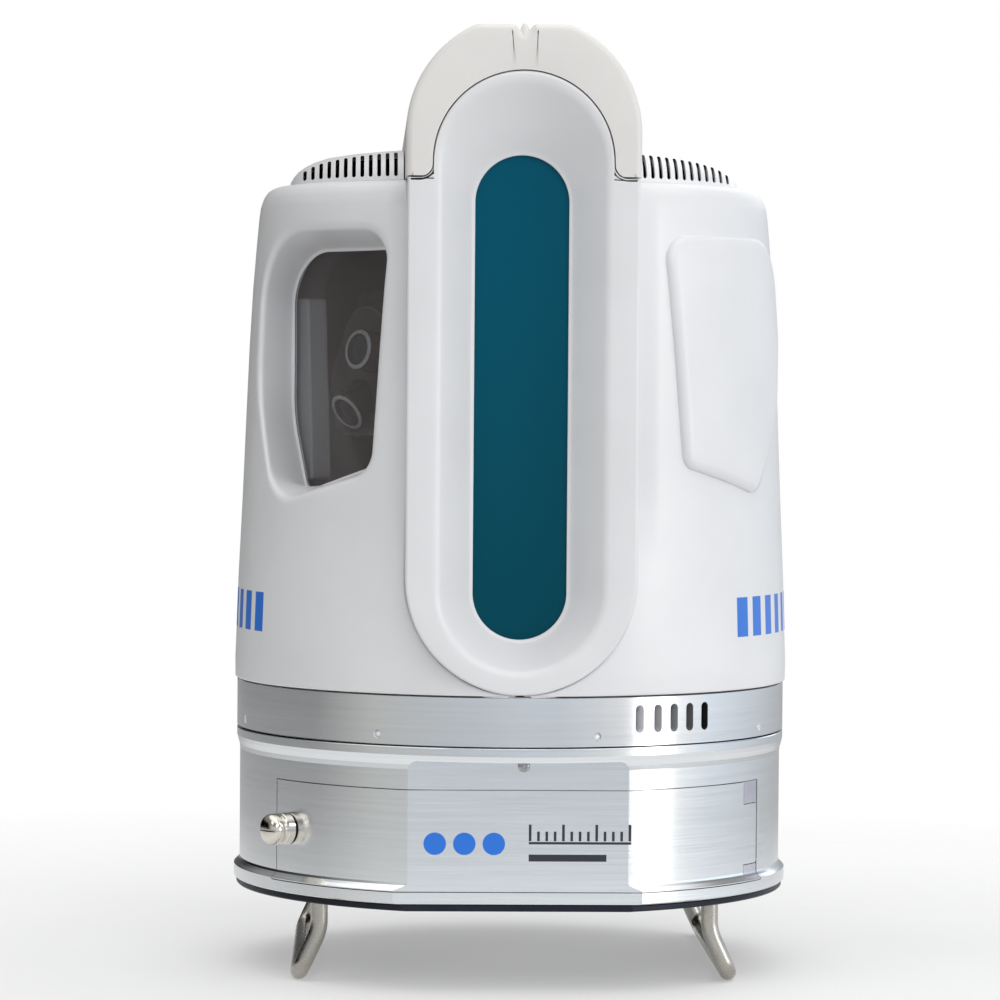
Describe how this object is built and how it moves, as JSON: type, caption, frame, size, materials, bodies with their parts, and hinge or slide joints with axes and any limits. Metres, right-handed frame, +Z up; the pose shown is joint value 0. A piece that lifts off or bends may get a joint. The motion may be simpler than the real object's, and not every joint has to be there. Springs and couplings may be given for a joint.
{
  "type": "terrestrial laser scanner",
  "caption": "Round survey laser scanner: a head with an arched front window turns on a short metal base with a battery door and bent-rod feet.",
  "frame": {"origin": "on the axis the head turns about, at the level of the surface the feet stand on", "axes": "+Z up along the head axis; -Y towards the front, where the window and the battery door face; +X to the right as seen from the front"},
  "size_m": [0.217, 0.22, 0.359],
  "materials": {
    "white_moulding": "satin white moulding",
    "cap_moulding": "satin warm white moulding",
    "ring_aluminium": "turned, circular brushed",
    "base_aluminium": "turned, bead blasted",
    "machined_aluminium": "machined",
    "dark_plate": "dark anodised",
    "bent_rod": "bent stainless rod",
    "steel": "ground",
    "knob_chrome": "polished nickel",
    "window_teal": "dark teal coated",
    "smoked_pane": "smoked",
    "lens_glass": "coated",
    "mirror_coating": "polished",
    "black_plastic": "moulded",
    "grey_plastic": "moulded",
    "battery_case": "moulded",
    "seal_rubber": "moulded seal",
    "key_rubber": "moulded key",
    "circuit_board": "solder mask",
    "copper_winding": "enamelled winding"
  },
  "bodies": {
    "base": {"base_housing": "base_aluminium", "bottom_plate": "dark_plate", "tripod_bush": "steel", "foot_left": "bent_rod", "foot_right": "bent_rod", "battery_cradle": "black_plastic", "battery_left": "battery_case", "battery_right": "battery_case", "pan_motor_stator": "copper_winding", "pan_bearing_outer": "steel", "slip_ring": "black_plastic", "hinge_block_top": "base_aluminium", "hinge_block_bottom": "base_aluminium", "hinge_pin": "steel", "power_socket": "black_plastic", "data_socket": "black_plastic", "flange_screw": "steel"},
    "head": {"housing_left": "white_moulding", "housing_right": "white_moulding", "front_bezel": "white_moulding", "vent_cover_left": "white_moulding", "vent_cover_right": "white_moulding", "side_cover": "white_moulding", "rear_panel": "white_moulding", "top_cap": "cap_moulding", "front_sight": "cap_moulding", "head_ring": "ring_aluminium", "turntable": "machined_aluminium", "side_plate_left": "machined_aluminium", "side_plate_right": "machined_aluminium", "laser_module": "dark_plate", "power_supply": "dark_plate", "mirror_motor": "dark_plate", "pan_motor_rotor": "dark_plate", "pan_bearing_inner": "steel", "mirror_bearing": "steel", "lidar_window": "window_teal", "camera_window": "smoked_pane", "display_glass": "smoked_pane", "telescope_lens": "lens_glass", "fan_frame_left": "black_plastic", "fan_frame_right": "black_plastic", "camera_upper": "black_plastic", "camera_lower": "black_plastic", "telescope_barrel": "black_plastic", "camera_bracket": "grey_plastic", "camera_shroud": "grey_plastic", "window_seal": "seal_rubber", "main_board": "circuit_board", "display_board": "circuit_board"},
    "door": {"battery_door": "base_aluminium", "door_gasket": "seal_rubber"},
    "door_screw": {"door_screw": "knob_chrome"},
    "mirror": {"scan_mirror": "mirror_coating", "mirror_hub": "machined_aluminium"},
    "fan_left": {"fan_rotor_left": "black_plastic"},
    "fan_right": {"fan_rotor_right": "black_plastic"},
    "key_power": {"key_power": "key_rubber"},
    "key_menu": {"key_menu": "key_rubber"},
    "key_enter": {"key_enter": "key_rubber"}
  },
  "joints": [
    {"name": "head_pan", "type": "hinge", "parent": "base", "child": "head", "pos_m": [0, 0, 0.0916], "axis": [0, 0, 1], "continuous": true},
    {"name": "battery_door_swing", "type": "hinge", "parent": "base", "child": "door", "pos_m": [0.08998, -0.05195, 0.05625], "axis": [0, 0, 1], "range_deg": [0, 100]},
    {"name": "door_screw_turn", "type": "hinge", "parent": "door", "child": "door_screw", "pos_m": [-0.08656, -0.06289, 0.057], "axis": [-0.809, -0.5878, 0], "range_deg": [0, 1080]},
    {"name": "mirror_spin", "type": "hinge", "parent": "head", "child": "mirror", "pos_m": [0, -0.036, 0.18], "axis": [1, 0, 0], "continuous": true},
    {"name": "fan_left_spin", "type": "hinge", "parent": "head", "child": "fan_left", "pos_m": [-0.066, 0, 0.2936], "axis": [0, 0, 1], "continuous": true},
    {"name": "fan_right_spin", "type": "hinge", "parent": "head", "child": "fan_right", "pos_m": [0.066, 0, 0.2936], "axis": [0, 0, 1], "continuous": true},
    {"name": "key_power_press", "type": "slide", "parent": "head", "child": "key_power", "axis": [0, -1, 0], "range_m": [0, 0.0008], "stiffness_N_per_m": 700, "springref_m": -0.002},
    {"name": "key_menu_press", "type": "slide", "parent": "head", "child": "key_menu", "axis": [0, -1, 0], "range_m": [0, 0.0008], "stiffness_N_per_m": 700, "springref_m": -0.002},
    {"name": "key_enter_press", "type": "slide", "parent": "head", "child": "key_enter", "axis": [0, -1, 0], "range_m": [0, 0.0008], "stiffness_N_per_m": 700, "springref_m": -0.002}
  ]
}
